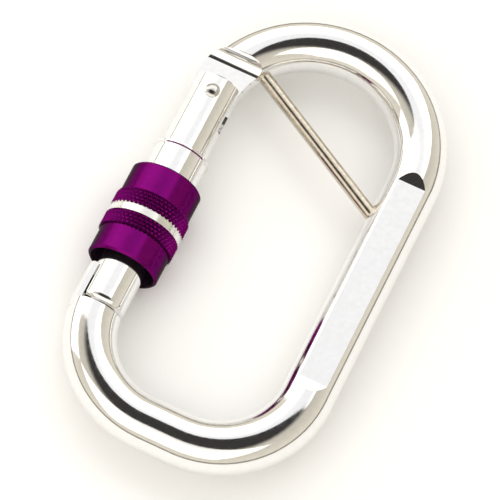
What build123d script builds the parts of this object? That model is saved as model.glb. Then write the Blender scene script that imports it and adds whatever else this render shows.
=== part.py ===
"""Oval screw-lock carabiner with a captive pin, in millimetres.

Frame: the loop lies in the XY plane. +Y points from the nose to the gate hinge, +X from the gate to the
spine, and +Z out of the loop. The origin is the centre of the whole object's box.
"""
from build123d import *
import os
from math import asin, atan2, cos, hypot, sin

# ---------------------------------------------------------------- driving dimensions
overall_length = 110.0          # over both bows, along Y
bar_d = 11.7                    # round bar of the frame
loop_half_width = 24.2          # from the middle of the loop to the bar's centreline
bottom_corner_r = 20.4          # centreline radius of the two bottom corners
gate_inset = 0.6                # the gate's axis lies this far inside the bar's centreline

gate_d = 10.5                   # round gate bar
pivot_y = 25.0                  # hinge rivet
gate_top_above_pivot = 4.0      # square-cut hinge end of the gate
gate_end_y = -30.2              # nose end of the gate
gate_end_round = 1.6            # rounding of the nose end's rim
gate_edge_break = 0.2           # bevel at the square-cut hinge end
nose_gap = 0.6                  # between the gate's end and the frame's shoulder

tang_thickness = 4.2            # flat tongue of the frame that enters the gate
tang_side_gap = 0.15            # between the tang and each cheek of the gate
tang_flat_end_y = 33.4          # where the tang's flats stop
tang_run_out = 2.8              # length of the hollow where the cutter left the round bar
cutter_r = 4.0                  # radius of that hollow
heel_below_pivot = 3.0          # flat heel that the spring plunger bears on
heel_half_width = 2.6
tang_edge_above_pivot = 1.0     # where the tang's outer edge turns in towards the heel
spur_tip_y = 24.7               # tip of the tang's spur, inside the loop
spur_reach = 0.3                # spur's tip beyond the gate's surface

rivet_d = 2.5
rivet_head_d = 3.3
rivet_head_rise = 0.7           # above the gate's surface
rivet_head_sink = 0.35          # seated below it
rivet_head_edge = 0.1           # straight edge of the head above the gate's surface
running_gap = 0.05              # radial clearance of a running fit

nose_top_y = -21.9              # top of the frame's T-shaped nose
head_height = 2.6               # the nose's head, wider than its neck
head_half_thickness = 2.8
neck_half_thickness = 1.6
nose_inner_reach = 1.5          # past the gate's axis, towards the spine
nose_back_half_width = 3.6      # back of the nose, outside the gate
nose_back_gap = 0.25
nose_side_gap = 0.2
nose_top_gap = 0.5              # lets the head turn out of the slot as the gate opens
nose_hook_gap = 0.15
nose_root = 2.0                 # length of the nose that is buried in the bar

sleeve_top_y = 2.9
sleeve_bottom_y = -19.4
sleeve_d = 16.2
knurl_d = 17.3                  # over the crests of both knurled bands
land_d = 16.8                   # bare land between the two bands
upper_knurl = (-7.9, -4.0)      # from and to, along Y
lower_knurl = (-13.1, -9.6)
sleeve_thread_d = 12.3          # inner thread, at its crests
sleeve_bore_d = 14.8            # clearance bore that passes over the nose
sleeve_thread_bottom_y = -6.0
sleeve_chamfer = 0.45           # outer edge of the lower rim
sleeve_edge_break = 0.3         # the sleeve's other rims and the knurl's outer ends
sleeve_bore_break = 0.1         # inner edge of the thin lower rim
thread_run_out = 0.5            # taper from the thread to the clearance bore

collar_d = 12.1                 # threaded ferrule pressed on the gate
collar_top_y = 10.4
collar_bottom_y = -13.0         # keeps the thread engaged with the sleeve down over the nose
lip_d = 12.9
lip_height = 0.8
lip_foot = 0.2                  # slope under the lip
lip_round_height = 0.25         # bevel on the lip's upper edge
lip_round_width = 0.3
collar_lead = 0.4               # lead-in bevel at the collar's lower end

friction_ring_y = -0.2
friction_ring_height = 1.0
friction_ring_outer_d = 13.8
friction_groove_gap = 0.1       # room above, below and outside the ring

plunger_d = 3.2
plunger_shoulder_y = 14.0
plunger_tail_d = 1.5
plunger_tail_y = 8.0
plunger_edge_break = 0.2
spring_bore_d = 3.3
spring_bore_end_y = 2.0
spring_wire_d = 0.5
spring_coils = 9
spring_side_gap = 0.02          # inside the plunger's own outline

slot_bottom_outer_y = 20.4      # gate slot on the outer side
slot_bottom_inner_y = 18.0      # deeper on the inner side, where the spur swings

flat_half_thickness = 4.9       # pressed flats of the spine
flat_top_y = 24.1
flat_bottom_y = -26.5
flat_ramp = 2.6                 # run of each flat's end ramp

pin_d = 3.0                     # captive pin across the hinge-end corner
pin_from = (-13.8, 35.1)        # where it leaves the top bow
pin_to = (19.8, 16.0)           # where it meets the spine
pin_embed = 4.0                 # length held in the bar at each end

# ---------------------------------------------------------------- derived places
bar_r = bar_d / 2
gate_r = gate_d / 2
overall_width = 2 * loop_half_width - gate_inset + bar_r + knurl_d / 2
spine_x = overall_width / 2 - bar_r
loop_x = spine_x - loop_half_width
bar_x = loop_x - loop_half_width
gate_x = bar_x + gate_inset
top_centre_y = overall_length / 2 - bar_r - loop_half_width
bottom_centre_y = -(overall_length / 2 - bar_r - bottom_corner_r)
bottom_line_y = bottom_centre_y - bottom_corner_r
crown_half = loop_half_width - bottom_corner_r
shoulder_y = gate_end_y - nose_gap
gate_top_y = pivot_y + gate_top_above_pivot
heel_y = pivot_y - heel_below_pivot
slot_half = tang_thickness / 2 + tang_side_gap
beyond = 20.0                   # more than any section's size, for cutting tools
overshoot = 1.0                 # how far a cutting tool starts outside what it cuts


def along_y(x, y):
    """Sketch plane across the gate or the bar: its normal is +Y."""
    return Plane(origin=(x, y, 0), x_dir=(1, 0, 0), z_dir=(0, 1, 0))


def across(x):
    """Sketch plane in Y and Z at the given X: sketch x is Y, sketch y is Z."""
    return Plane(origin=(x, 0, 0), x_dir=(0, 1, 0), z_dir=(1, 0, 0))


def turned(profile):
    """Revolve a list of (radius, y) corners about the gate's axis."""
    with BuildPart() as piece:
        with BuildSketch(Plane.XY):
            with BuildLine():
                Polyline([(gate_x + radius, y) for radius, y in profile], close=True)
            make_face()
        revolve(axis=Axis((gate_x, 0, 0), (0, 1, 0)))
    return piece


# ---------------------------------------------------------------- nose: T in the YZ plane
def nose_profile(top_gap, hook_gap, side_gap, bottom_y):
    """Corners of the T, grown by the given gaps, as (y, z)."""
    top = nose_top_y + top_gap
    under_head = nose_top_y - head_height - hook_gap
    head = head_half_thickness + side_gap
    neck = neck_half_thickness + side_gap
    return [(bottom_y, -neck), (under_head, -neck), (under_head, -head), (top, -head),
            (top, head), (under_head, head), (under_head, neck), (bottom_y, neck)]


with BuildPart() as nose:
    with BuildSketch(across(bar_x - bar_r - overshoot)):
        with BuildLine():
            Polyline(nose_profile(0, 0, 0, shoulder_y - nose_root), close=True)
        make_face()
    extrude(amount=bar_r + overshoot + gate_inset + nose_inner_reach)
    # thin back of the nose, outside the gate, carries the bar's round surface up to the nose's top
    with BuildSketch(along_y(bar_x, shoulder_y - nose_root)):
        with Locations((-bar_r / 2, 0)):
            Rectangle(bar_r, 2 * nose_back_half_width)
        with Locations((gate_inset, 0)):
            Circle(gate_r + nose_back_gap, mode=Mode.SUBTRACT)
    extrude(amount=nose_top_y - shoulder_y + nose_root)
    with BuildSketch(along_y(bar_x, shoulder_y - 2 * nose_root)):
        Circle(bar_r)
    extrude(amount=beyond, mode=Mode.INTERSECT)

# ---------------------------------------------------------------- hinge rivet, across the gate
head_r = rivet_head_d / 2
head_seat_z = gate_r - rivet_head_sink
head_top_z = gate_r + rivet_head_rise
dome_edge_z = gate_r + rivet_head_edge
dome_rise = head_top_z - dome_edge_z
dome_r = (head_r ** 2 + dome_rise ** 2) / (2 * dome_rise)
dome_half_angle = asin(head_r / dome_r) / 2
dome_mid = (dome_r * sin(dome_half_angle), head_top_z - dome_r * (1 - cos(dome_half_angle)))

with BuildPart() as hinge_rivet:
    with BuildSketch(Plane.XZ):
        with BuildLine():
            Polyline(
                (head_r, -dome_edge_z), (head_r, -head_seat_z), (rivet_d / 2, -head_seat_z),
                (rivet_d / 2, head_seat_z), (head_r, head_seat_z), (head_r, dome_edge_z),
            )
            ThreePointArc((head_r, dome_edge_z), dome_mid, (0, head_top_z))
            Line((0, head_top_z), (0, -head_top_z))
            ThreePointArc((0, -head_top_z), (dome_mid[0], -dome_mid[1]), (head_r, -dome_edge_z))
        make_face()
    revolve(axis=Axis.Z)
hinge_rivet.part = hinge_rivet.part.moved(Location((gate_x, pivot_y, 0)))

# ---------------------------------------------------------------- captive pin
pin_angle = atan2(pin_to[1] - pin_from[1], pin_to[0] - pin_from[0])
pin_length = hypot(pin_to[0] - pin_from[0], pin_to[1] - pin_from[1]) + 2 * pin_embed
pin_start = (pin_from[0] - pin_embed * cos(pin_angle), pin_from[1] - pin_embed * sin(pin_angle), 0)
with BuildPart() as captive_pin:
    with BuildSketch(Plane(origin=pin_start, z_dir=(cos(pin_angle), sin(pin_angle), 0))):
        Circle(pin_d / 2)
    extrude(amount=pin_length)

# ---------------------------------------------------------------- frame: bent bar, tang, flats and nose
with BuildPart() as frame:
    with BuildLine() as bar_path:
        Line((bar_x, heel_y), (bar_x, top_centre_y))
        ThreePointArc(
            (bar_x, top_centre_y), (loop_x, top_centre_y + loop_half_width), (spine_x, top_centre_y)
        )
        Line((spine_x, top_centre_y), (spine_x, bottom_centre_y))
        RadiusArc((spine_x, bottom_centre_y), (loop_x + crown_half, bottom_line_y), bottom_corner_r)
        Line((loop_x + crown_half, bottom_line_y), (loop_x - crown_half, bottom_line_y))
        RadiusArc((loop_x - crown_half, bottom_line_y), (bar_x, bottom_centre_y), bottom_corner_r)
        Line((bar_x, bottom_centre_y), (bar_x, nose_top_y))
    with BuildSketch(along_y(bar_x, heel_y)):
        Circle(bar_r)
    sweep()

    # the bar ends in a square shoulder below the gate, and only the T-shaped nose goes on
    with BuildSketch(along_y(bar_x, shoulder_y)):
        Rectangle(beyond, beyond)
    extrude(amount=nose_top_y - shoulder_y + overshoot, mode=Mode.SUBTRACT)
    add(nose.part)

    # front and back of the hinge end are milled down to the tang
    tang_half = tang_thickness / 2
    for side in (1, -1):
        flat_end = (tang_flat_end_y, side * tang_half)
        hollow_end = (tang_flat_end_y + tang_run_out, side * bar_r)
        with BuildSketch(across(gate_x - beyond / 2)):
            with BuildLine():
                Polyline(
                    hollow_end,
                    (tang_flat_end_y + tang_run_out, side * (bar_r + overshoot)),
                    (heel_y - overshoot, side * (bar_r + overshoot)),
                    (heel_y - overshoot, side * tang_half),
                    flat_end,
                )
                RadiusArc(flat_end, hollow_end, -side * cutter_r)
            make_face()
        extrude(amount=beyond, mode=Mode.SUBTRACT)

    # outer edge of the tang flush with the gate, spur on the inner edge, flat heel below
    with BuildSketch(Plane.XY.offset(-bar_r)):
        with BuildLine():
            Polyline(
                [(gate_x - gate_r, tang_flat_end_y), (gate_x - gate_r, pivot_y + tang_edge_above_pivot),
                 (gate_x - heel_half_width, heel_y), (gate_x - heel_half_width, heel_y - overshoot),
                 (gate_x - beyond / 2, heel_y - overshoot), (gate_x - beyond / 2, tang_flat_end_y)],
                close=True,
            )
        make_face()
        with BuildLine():
            Polyline(
                [(gate_x + heel_half_width, heel_y), (gate_x + gate_r + spur_reach, spur_tip_y),
                 (gate_x + beyond / 2, spur_tip_y), (gate_x + beyond / 2, heel_y - overshoot),
                 (gate_x + heel_half_width, heel_y - overshoot)],
                close=True,
            )
        make_face()
    extrude(amount=bar_d, mode=Mode.SUBTRACT)

    # spine pressed flat, front and back
    for side in (1, -1):
        with BuildSketch(across(spine_x - bar_r - overshoot)):
            with BuildLine():
                Polyline(
                    [(flat_bottom_y, side * flat_half_thickness),
                     (flat_top_y, side * flat_half_thickness),
                     (flat_top_y + flat_ramp, side * bar_r),
                     (flat_top_y + flat_ramp, side * (bar_r + overshoot)),
                     (flat_bottom_y - flat_ramp, side * (bar_r + overshoot)),
                     (flat_bottom_y - flat_ramp, side * bar_r)],
                    close=True,
                )
            make_face()
        extrude(amount=bar_d + 2 * overshoot, mode=Mode.SUBTRACT)

    # holes for the rivet and the captive pin
    with BuildSketch(Plane.XY.offset(-bar_r)):
        with Locations((gate_x, pivot_y)):
            Circle(rivet_d / 2 + running_gap)
    extrude(amount=bar_d, mode=Mode.SUBTRACT)
    add(captive_pin.part, mode=Mode.SUBTRACT)

# ---------------------------------------------------------------- gate
with BuildPart() as gate:
    with BuildSketch(along_y(gate_x, gate_end_y)):
        Circle(gate_r)
    extrude(amount=gate_top_y - gate_end_y)
    fillet(gate.edges().filter_by(GeomType.CIRCLE).sort_by(Axis.Y)[0], gate_end_round)
    chamfer(gate.edges().filter_by(GeomType.CIRCLE).sort_by(Axis.Y)[-1], gate_edge_break)

    # slot for the tang, deeper on the inner side
    with BuildSketch(across(gate_x - gate_r - overshoot)):
        with Locations(((slot_bottom_outer_y + gate_top_y + overshoot) / 2, 0)):
            Rectangle(gate_top_y + overshoot - slot_bottom_outer_y, 2 * slot_half)
    extrude(amount=gate_d + 2 * overshoot, mode=Mode.SUBTRACT)
    with BuildSketch(across(gate_x)):
        with Locations(((slot_bottom_inner_y + gate_top_y) / 2, 0)):
            Rectangle(gate_top_y - slot_bottom_inner_y, 2 * slot_half)
    extrude(amount=gate_r + overshoot, mode=Mode.SUBTRACT)

    # bore for the spring and its plunger
    with BuildSketch(along_y(gate_x, spring_bore_end_y)):
        Circle(spring_bore_d / 2)
    extrude(amount=pivot_y - spring_bore_end_y, mode=Mode.SUBTRACT)

    # T-slot for the nose, open to the outer side and the end
    with BuildSketch(across(gate_x - gate_r - overshoot)):
        with BuildLine():
            Polyline(
                nose_profile(nose_top_gap, nose_hook_gap, nose_side_gap, gate_end_y - overshoot),
                close=True,
            )
        make_face()
    extrude(amount=gate_r + overshoot + nose_inner_reach + 2 * nose_side_gap, mode=Mode.SUBTRACT)
    add(hinge_rivet.part, mode=Mode.SUBTRACT)

# ---------------------------------------------------------------- collar pressed on the gate
collar = turned([
    (gate_r, collar_bottom_y),
    (collar_d / 2 - collar_lead, collar_bottom_y),
    (collar_d / 2, collar_bottom_y + collar_lead),
    (collar_d / 2, collar_top_y - lip_height),
    (lip_d / 2, collar_top_y - lip_height + lip_foot),
    (lip_d / 2, collar_top_y - lip_round_height),
    (lip_d / 2 - lip_round_width, collar_top_y),
    (gate_r, collar_top_y),
])

# ---------------------------------------------------------------- friction ring in the sleeve
ring_bottom = friction_ring_y - friction_ring_height / 2
ring_top = friction_ring_y + friction_ring_height / 2
ring_inner_r = collar_d / 2 + running_gap
friction_ring = turned([
    (ring_inner_r, ring_bottom),
    (friction_ring_outer_d / 2, ring_bottom),
    (friction_ring_outer_d / 2, ring_top),
    (ring_inner_r, ring_top),
])

# ---------------------------------------------------------------- locking sleeve
# One turned sleeve, kept as two nodes that meet at the lower edge of the land. The lower one is
# a plain tube, so that what passes over the nose has a simple shape.
sleeve_split_y = lower_knurl[1]
lock_sleeve_lower = turned([
    (sleeve_bore_d / 2 + sleeve_bore_break, sleeve_bottom_y),
    (sleeve_d / 2 - sleeve_chamfer, sleeve_bottom_y),
    (sleeve_d / 2, sleeve_bottom_y + sleeve_chamfer),
    (sleeve_d / 2, lower_knurl[0]),
    (knurl_d / 2, lower_knurl[0] + sleeve_edge_break),
    (knurl_d / 2, sleeve_split_y),
    (sleeve_bore_d / 2, sleeve_split_y),
    (sleeve_bore_d / 2, sleeve_bottom_y + sleeve_bore_break),
])

groove_r = friction_ring_outer_d / 2 + friction_groove_gap
lock_sleeve_upper = turned([
    (sleeve_bore_d / 2, sleeve_split_y),
    (land_d / 2, sleeve_split_y),
    (land_d / 2, upper_knurl[0]),
    (knurl_d / 2, upper_knurl[0]),
    (knurl_d / 2, upper_knurl[1] - sleeve_edge_break),
    (sleeve_d / 2, upper_knurl[1]),
    (sleeve_d / 2, sleeve_top_y - sleeve_edge_break),
    (sleeve_d / 2 - sleeve_edge_break, sleeve_top_y),
    (sleeve_thread_d / 2 + sleeve_edge_break, sleeve_top_y),
    (sleeve_thread_d / 2, sleeve_top_y - sleeve_edge_break),
    (sleeve_thread_d / 2, ring_top + friction_groove_gap),
    (groove_r, ring_top + friction_groove_gap),
    (groove_r, ring_bottom - friction_groove_gap),
    (sleeve_thread_d / 2, ring_bottom - friction_groove_gap),
    (sleeve_thread_d / 2, sleeve_thread_bottom_y),
    (sleeve_bore_d / 2, sleeve_thread_bottom_y - thread_run_out),
])

# ---------------------------------------------------------------- spring plunger and gate spring
plunger_top_y = heel_y - running_gap
spring_plunger = turned([
    (0, plunger_tail_y),
    (plunger_tail_d / 2, plunger_tail_y),
    (plunger_tail_d / 2, plunger_shoulder_y),
    (plunger_d / 2, plunger_shoulder_y),
    (plunger_d / 2, plunger_top_y - plunger_edge_break),
    (plunger_d / 2 - plunger_edge_break, plunger_top_y),
    (0, plunger_top_y),
])

spring_height = plunger_shoulder_y - spring_bore_end_y - spring_wire_d - 2 * running_gap
with BuildPart() as gate_spring:
    coil_radius = (plunger_d - spring_wire_d) / 2 - spring_side_gap
    coil_start_y = spring_bore_end_y + spring_wire_d / 2 + running_gap
    with BuildLine():
        coil = Helix(
            pitch=spring_height / spring_coils,
            height=spring_height,
            radius=coil_radius,
            center=(gate_x, coil_start_y, 0),
            direction=(0, 1, 0),
        )
    with BuildSketch(Plane(origin=coil @ 0, z_dir=coil % 0)):
        Circle(spring_wire_d / 2)
    sweep(is_frenet=True)

# ---------------------------------------------------------------- write one STEP per piece
pieces = {
    "frame": frame,
    "captive_pin": captive_pin,
    "gate": gate,
    "hinge_rivet": hinge_rivet,
    "gate_collar": collar,
    "lock_sleeve_upper": lock_sleeve_upper,
    "lock_sleeve_lower": lock_sleeve_lower,
    "friction_ring": friction_ring,
    "spring_plunger": spring_plunger,
    "gate_spring": gate_spring,
}
os.makedirs("parts", exist_ok=True)
for name, piece in pieces.items():
    piece.part.label = name
    export_step(piece.part, f"parts/{name}.step")
    print(name, round(piece.part.volume, 1))
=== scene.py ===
"""Oval screw-lock carabiner on a pale floor, in metres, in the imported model's own frame."""

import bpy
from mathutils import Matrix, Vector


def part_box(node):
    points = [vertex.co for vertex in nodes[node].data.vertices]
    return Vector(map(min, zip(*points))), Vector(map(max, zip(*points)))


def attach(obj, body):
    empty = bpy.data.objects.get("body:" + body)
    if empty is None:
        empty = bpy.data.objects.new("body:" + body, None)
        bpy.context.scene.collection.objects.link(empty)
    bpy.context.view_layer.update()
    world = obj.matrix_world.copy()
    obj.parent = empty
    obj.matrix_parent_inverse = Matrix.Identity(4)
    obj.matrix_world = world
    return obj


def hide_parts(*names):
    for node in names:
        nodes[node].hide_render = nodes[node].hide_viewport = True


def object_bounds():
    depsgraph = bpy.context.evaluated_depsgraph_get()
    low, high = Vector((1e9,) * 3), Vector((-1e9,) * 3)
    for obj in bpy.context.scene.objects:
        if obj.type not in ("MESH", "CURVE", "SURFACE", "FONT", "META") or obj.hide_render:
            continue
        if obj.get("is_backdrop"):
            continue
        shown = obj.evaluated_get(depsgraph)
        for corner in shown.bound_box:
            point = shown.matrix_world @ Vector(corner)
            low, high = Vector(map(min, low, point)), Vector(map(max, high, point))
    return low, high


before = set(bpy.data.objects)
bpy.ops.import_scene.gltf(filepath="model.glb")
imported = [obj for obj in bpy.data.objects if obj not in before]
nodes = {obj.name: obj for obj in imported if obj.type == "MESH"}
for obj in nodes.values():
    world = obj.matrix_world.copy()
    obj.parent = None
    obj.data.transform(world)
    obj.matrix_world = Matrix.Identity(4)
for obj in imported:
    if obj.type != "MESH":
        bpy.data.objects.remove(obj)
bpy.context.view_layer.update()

from math import cos, hypot, radians, sin, tau

import bmesh
import bpy
from mathutils import Matrix, Vector

MM = 0.001


# ---------------------------------------------------------------- node helpers
def fill_ramp(ramp, stops):
    """A colour ramp's stops, given as (position, (r, g, b))."""
    while len(ramp.elements) < len(stops):
        ramp.elements.new(0.5)
    for element, (position, colour) in zip(ramp.elements, stops):
        element.position = position
        element.color = (*colour, 1)


class Shader:
    """A material's node tree, with short calls for the few nodes that these materials use."""

    def __init__(self, name):
        self.material = bpy.data.materials.new(name)
        self.material.use_nodes = True
        self.tree = self.material.node_tree
        self.surface = self.tree.nodes["Principled BSDF"]
        coords = self.tree.nodes.new("ShaderNodeTexCoord")
        self.place = coords.outputs["Object"]

    def set(self, **values):
        """Constant values, straight on the shader's own sockets."""
        for socket, value in values.items():
            self.surface.inputs[socket.replace("_", " ")].default_value = value

    def link(self, source, target):
        self.tree.links.new(source, target)

    def noise(self, scale, detail, stretch=(1, 1, 1)):
        """Noise in the object's own coordinates, stretched along an axis by a smaller factor."""
        mapping = self.tree.nodes.new("ShaderNodeMapping")
        mapping.inputs["Scale"].default_value = stretch
        texture = self.tree.nodes.new("ShaderNodeTexNoise")
        texture.inputs["Scale"].default_value = scale
        texture.inputs["Detail"].default_value = detail
        self.link(self.place, mapping.inputs["Vector"])
        self.link(mapping.outputs["Vector"], texture.inputs["Vector"])
        return texture.outputs["Fac"]

    def spread(self, source, low, high):
        """Noise, which keeps mostly to the middle third, mapped to low to high."""
        node = self.tree.nodes.new("ShaderNodeMapRange")
        node.inputs["From Min"].default_value = 0.35
        node.inputs["From Max"].default_value = 0.65
        node.inputs["To Min"].default_value = low
        node.inputs["To Max"].default_value = high
        self.link(source, node.inputs["Value"])
        return node.outputs["Result"]

    def colours(self, source, stops):
        node = self.tree.nodes.new("ShaderNodeValToRGB")
        fill_ramp(node.color_ramp, stops)
        self.link(source, node.inputs["Fac"])
        return node.outputs["Color"]

    def surface_from(self, tone, dark, light, rough_low, rough_high):
        """Base colour from dark to light, and roughness from low to high, both following one tone."""
        self.link(self.colours(tone, [(0.3, dark), (0.7, light)]), self.surface.inputs["Base Color"])
        self.link(self.spread(tone, rough_low, rough_high), self.surface.inputs["Roughness"])

    def bump(self, source, depth):
        node = self.tree.nodes.new("ShaderNodeBump")
        node.inputs["Distance"].default_value = depth
        self.link(source, node.inputs["Height"])
        self.link(node.outputs["Normal"], self.surface.inputs["Normal"])


# ---------------------------------------------------------------- materials
def metal(name, dark, light, rough_low, rough_high, grain, dents=0.0):
    """Bare metal: faint colour variation, uneven polish and, if asked, soft handling dents."""
    shader = Shader(name)
    shader.set(Metallic=1.0)
    shader.surface_from(shader.noise(grain, 5.0), dark, light, rough_low, rough_high)
    if dents:
        shader.bump(shader.noise(160, 2.0), dents)
    return shader.material


def polished_alloy():
    return metal(
        "polished_alloy", (0.86, 0.855, 0.845), (0.90, 0.90, 0.895), 0.07, 0.12, 900, dents=0.01 * MM)


def bright_steel():
    return metal("bright_steel", (0.55, 0.54, 0.53), (0.66, 0.65, 0.64), 0.10, 0.20, 1400)


def pin_steel():
    return metal("pin_steel", (0.50, 0.45, 0.36), (0.66, 0.60, 0.52), 0.12, 0.22, 1200)


def spring_steel():
    return metal("spring_steel", (0.42, 0.42, 0.44), (0.58, 0.58, 0.60), 0.22, 0.36, 1600)


def anodised_purple():
    """Dyed oxide over bright metal: the coat takes up more light the longer its path through the dye."""
    shader = Shader("anodised_purple")
    shader.set(Metallic=1.0, Specular_Tint=(0.12, 0.02, 0.12, 1))
    shader.set(Coat_Weight=1.0, Coat_IOR=1.05, Coat_Roughness=0.25, Coat_Tint=(0.48, 0.28, 0.48, 1))
    shader.surface_from(shader.noise(700, 4.0), (0.38, 0.012, 0.31), (0.46, 0.015, 0.38), 0.22, 0.30)
    return shader.material


def painted_shade_bore():
    """Painted shade: the sleeve's inside, near-black to stand in for the shade in the recess, and
    unpolished.
    """
    shader = Shader("painted_shade_bore")
    shader.surface_from(shader.noise(900, 3.0), (0.010, 0.002, 0.010), (0.018, 0.003, 0.017), 0.45, 0.60)
    return shader.material


def bare_land():
    """Band turned bright through the anodising, with fine turning rings round the gate's axis."""
    shader = Shader("bare_land")
    shader.set(Metallic=1.0)
    rings = shader.noise(60, 3.0, (1, 60, 1))
    shader.surface_from(rings, (0.76, 0.75, 0.71), (0.88, 0.87, 0.84), 0.18, 0.30)
    shader.bump(rings, 0.01 * MM)
    return shader.material


def ring_rubber():
    shader = Shader("ring_rubber")
    shader.surface_from(shader.noise(2500, 4.0), (0.018, 0.018, 0.018), (0.035, 0.034, 0.033), 0.6, 0.8)
    return shader.material


def paint(obj, *materials):
    """A new piece has no slots yet, and keeps the slot numbers of its faces."""
    if obj.data.materials:
        obj.data.materials.clear()
    for material in materials:
        obj.data.materials.append(material)


alloy = polished_alloy()
steel = bright_steel()
purple = anodised_purple()
land = bare_land()
# painted shade: a near-black material for the sleeve's inside, where there is only shade
bore = painted_shade_bore()
for node, material in {
    "frame": alloy,
    "gate": alloy,
    "gate_collar": alloy,
    "hinge_rivet": steel,
    "spring_plunger": steel,
    "captive_pin": pin_steel(),
    "gate_spring": spring_steel(),
    "friction_ring": ring_rubber(),
    "lock_sleeve_upper": purple,
    "lock_sleeve_lower": purple,
}.items():
    paint(nodes[node], material)


# ---------------------------------------------------------------- locking sleeve with real knurling
sleeve_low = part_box("lock_sleeve_lower")[0]
sleeve_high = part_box("lock_sleeve_upper")[1]
axis_x = (sleeve_low.x + sleeve_high.x) / 2
crest_r = (sleeve_high.x - sleeve_low.x) / 2
bottom = sleeve_low.y
top = sleeve_high.y
body_r = crest_r - 0.55 * MM        # plain skirts above and below the knurl
land_r = crest_r - 0.25 * MM        # bare band between the knurled bands
thread_r = 6.15 * MM
thread_bottom = bottom + 13.4 * MM
bore_r = 7.4 * MM                   # wide bore below the thread, which passes over the nose
bore_top = bottom + 12.9 * MM
tooth_count = 50                    # diamonds round each band
tooth_depth = 0.5 * MM
tooth_stretch = 1.5                 # a diamond's height over its width
tooth_flank = 2.1                   # steepness of the grooves' sides
per_tooth = 12                      # mesh columns for each diamond
row_step = 0.1 * MM
lower_band = (bottom + 6.3 * MM, bottom + 9.8 * MM)
upper_band = (bottom + 11.5 * MM, bottom + 15.4 * MM)
rim = 0.45 * MM                     # bevel of the lower rim
edge = 0.3 * MM                     # the other edges
bore_break = 0.1 * MM               # inner edge of the thin lower rim
ring_groove_r = 7.0 * MM            # groove of the friction ring, inside the thread
ring_groove = (bottom + 18.6 * MM, bottom + 19.8 * MM)
knurl_shoulder = 0.02 * MM          # height of the step between a band and the plain part beside it
tooth_rise = 0.05 * MM              # a face counts as a tooth when it stands this far above the land
sharp_angle = radians(28)
serration = 0.28 * MM               # height of the upper band's teeth that are cut bright
DYED, BARE, INSIDE = range(3)       # the sleeve's finishes and the inside's painted shade, in the order of its material slots


def knurled(angle, y, band):
    """Radius of a diamond knurl: two crossed sets of V grooves, cut square at the band's edges."""
    pitch = tau * crest_r / tooth_count
    along = (y - band[0]) / (pitch * tooth_stretch)
    around = angle * tooth_count / tau
    groove = 0.0
    for lean in (1, -1):
        phase = (around + lean * along) % 1.0
        groove = max(groove, 1 - min(phase, 1 - phase) * tooth_flank)
    return crest_r - tooth_depth * groove


def sleeve_rows():
    """Rows down the outside and back up the inside, as (y, radius or None for knurl, band, finish)."""
    rows = [
        (top, thread_r + edge, None, DYED),
        (top, body_r - edge, None, DYED),
        (top - edge, body_r, None, DYED),
    ]
    for band, above, below in ((upper_band, body_r, land_r), (lower_band, land_r, body_r)):
        rows.append((band[1] + knurl_shoulder, above, None, DYED if above == body_r else BARE))
        count = round((band[1] - band[0]) / row_step)
        for k in range(count + 1):
            rows.append((band[1] - k * (band[1] - band[0]) / count, None, band, DYED))
        rows.append((band[0] - knurl_shoulder, below, None, BARE if below == land_r else DYED))
    rows += [
        (bottom + rim, body_r, None, DYED),
        (bottom, body_r - rim, None, DYED),
        # the inside rows take the painted shade material
        (bottom, bore_r + bore_break, None, INSIDE),
        (bottom + bore_break, bore_r, None, INSIDE),
        (bore_top, bore_r, None, INSIDE),
        (thread_bottom, thread_r, None, INSIDE),
        (ring_groove[0], thread_r, None, INSIDE),
        (ring_groove[0], ring_groove_r, None, INSIDE),
        (ring_groove[1], ring_groove_r, None, INSIDE),
        (ring_groove[1], thread_r, None, INSIDE),
        (top - edge, thread_r, None, INSIDE),
    ]
    return rows


def knurled_sleeve():
    mesh = bpy.data.meshes.new("knurled_sleeve")
    bm = bmesh.new()
    columns = tooth_count * per_tooth
    rows = sleeve_rows()
    rings = []
    for y, radius, band, _ in rows:
        ring = []
        for k in range(columns):
            angle = tau * k / columns
            r = knurled(angle, y, band) if band else radius
            ring.append(bm.verts.new((axis_x + r * cos(angle), y, r * sin(angle))))
        rings.append(ring)
    for i, ring in enumerate(rings):
        after = rings[(i + 1) % len(rings)]
        _, _, band, finish = rows[i]
        for k in range(columns):
            face = bm.faces.new((ring[k], ring[(k + 1) % columns], after[(k + 1) % columns], after[k]))
            tip = min(v.co.y for v in face.verts) < upper_band[0] + serration
            tooth = max(hypot(v.co.x - axis_x, v.co.z) for v in face.verts) > land_r + tooth_rise
            cut = band is upper_band and tip and tooth
            face.material_index = BARE if cut else finish
            face.smooth = True
    bmesh.ops.recalc_face_normals(bm, faces=bm.faces)
    bm.to_mesh(mesh)
    bm.free()
    mesh.set_sharp_from_angle(angle=sharp_angle)
    sleeve = bpy.data.objects.new("knurled_sleeve", mesh)
    bpy.context.scene.collection.objects.link(sleeve)
    # third slot: painted shade for the sleeve's inside
    paint(sleeve, purple, land, bore)
    return sleeve


sleeve = knurled_sleeve()
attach(sleeve, "sleeve")
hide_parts("lock_sleeve_upper", "lock_sleeve_lower")


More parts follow.
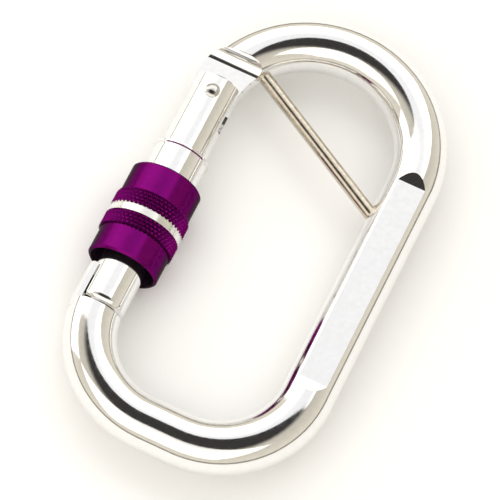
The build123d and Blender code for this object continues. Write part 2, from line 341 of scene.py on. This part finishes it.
# ---------------------------------------------------------------- floor, light and camera
def floor():
    low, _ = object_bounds()
    half = 3.0
    mesh = bpy.data.meshes.new("floor")
    corners = [(-half, -half), (half, -half), (half, half), (-half, half)]
    mesh.from_pydata([(x, y, low.z) for x, y in corners], [], [(0, 1, 2, 3)])
    plane = bpy.data.objects.new("floor", mesh)
    bpy.context.scene.collection.objects.link(plane)
    shader = Shader("pale_floor")
    shader.set(Roughness=0.7)
    tint = shader.colours(shader.noise(6, 2.0), [(0.3, (0.90, 0.90, 0.895)), (0.7, (0.93, 0.93, 0.93))])
    shader.link(tint, shader.surface.inputs["Base Color"])
    paint(plane, shader.material)
    plane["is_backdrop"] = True


def softbox(name, centre, aim, width, depth, power, colour, reflected=True):
    light = bpy.data.lights.new(name, "AREA")
    light.shape = "RECTANGLE"
    light.size = width
    light.size_y = depth
    light.energy = power
    light.color = colour
    lamp = bpy.data.objects.new(name, light)
    lamp.location = centre
    lamp.rotation_mode = "QUATERNION"
    lamp.rotation_quaternion = (Vector(aim) - Vector(centre)).to_track_quat("-Z", "Y")
    lamp.visible_camera = False
    lamp.visible_glossy = reflected
    bpy.context.scene.collection.objects.link(lamp)


def studio():
    """Pale beige room, dark overhead, with three softboxes and a fill that no gloss shows."""
    world = bpy.data.worlds.new("studio")
    bpy.context.scene.world = world
    world.use_nodes = True
    tree = world.node_tree
    coords = tree.nodes.new("ShaderNodeTexCoord")
    split = tree.nodes.new("ShaderNodeSeparateXYZ")
    ramp = tree.nodes.new("ShaderNodeValToRGB")
    tree.links.new(coords.outputs["Generated"], split.inputs["Vector"])
    tree.links.new(split.outputs["Z"], ramp.inputs["Fac"])
    tree.links.new(ramp.outputs["Color"], tree.nodes["Background"].inputs["Color"])
    stops = [
        (0.00, (0.10, 0.085, 0.065)),
        (0.05, (0.20, 0.18, 0.14)),
        (0.13, (0.84, 0.78, 0.66)),
        (0.80, (0.62, 0.58, 0.50)),
        (0.90, (0.045, 0.042, 0.040)),
    ]
    fill_ramp(ramp.color_ramp, stops)
    softbox("back_softbox", (-0.28, 0.85, 0.62), (-0.28, 0.85, 0), 1.30, 1.40, 5.7, (0.99, 0.99, 1.0))
    softbox("front_softbox", (-0.10, -0.95, 0.62), (-0.10, -0.95, 0), 1.60, 1.30, 6.0, (1.0, 0.97, 0.92))
    softbox("left_softbox", (-1.00, 0.15, 0.35), (0, 0, 0), 0.90, 0.60, 1.6, (1.0, 1.0, 1.0))
    softbox("floor_fill", (0.0, 0.0, 1.40), (0, 0, 0), 2.40, 2.40, 12.0, (1.0, 1.0, 1.0), reflected=False)


def camera():
    """Long lens, high over the nose end and turned a little, as the object is seen."""
    elevation = radians(65.77)
    azimuth = radians(16.67)
    roll = radians(9.27)
    distance = 0.825
    target = Vector((0, -2.8 * MM, -1.05 * MM))
    back = Vector((sin(azimuth) * cos(elevation), -cos(azimuth) * cos(elevation), sin(elevation)))
    data = bpy.data.cameras.new("camera")
    data.sensor_width = 36
    data.lens = 277.8
    data.clip_start = 0.01
    data.clip_end = 20
    eye = bpy.data.objects.new("camera", data)
    turn = (-back).to_track_quat("-Z", "Y").to_matrix().to_4x4()
    eye.matrix_world = Matrix.Translation(target + back * distance) @ turn @ Matrix.Rotation(roll, 4, "Z")
    bpy.context.scene.collection.objects.link(eye)
    bpy.context.scene.camera = eye


floor()
studio()
camera()
bpy.context.scene.view_settings.view_transform = "Standard"
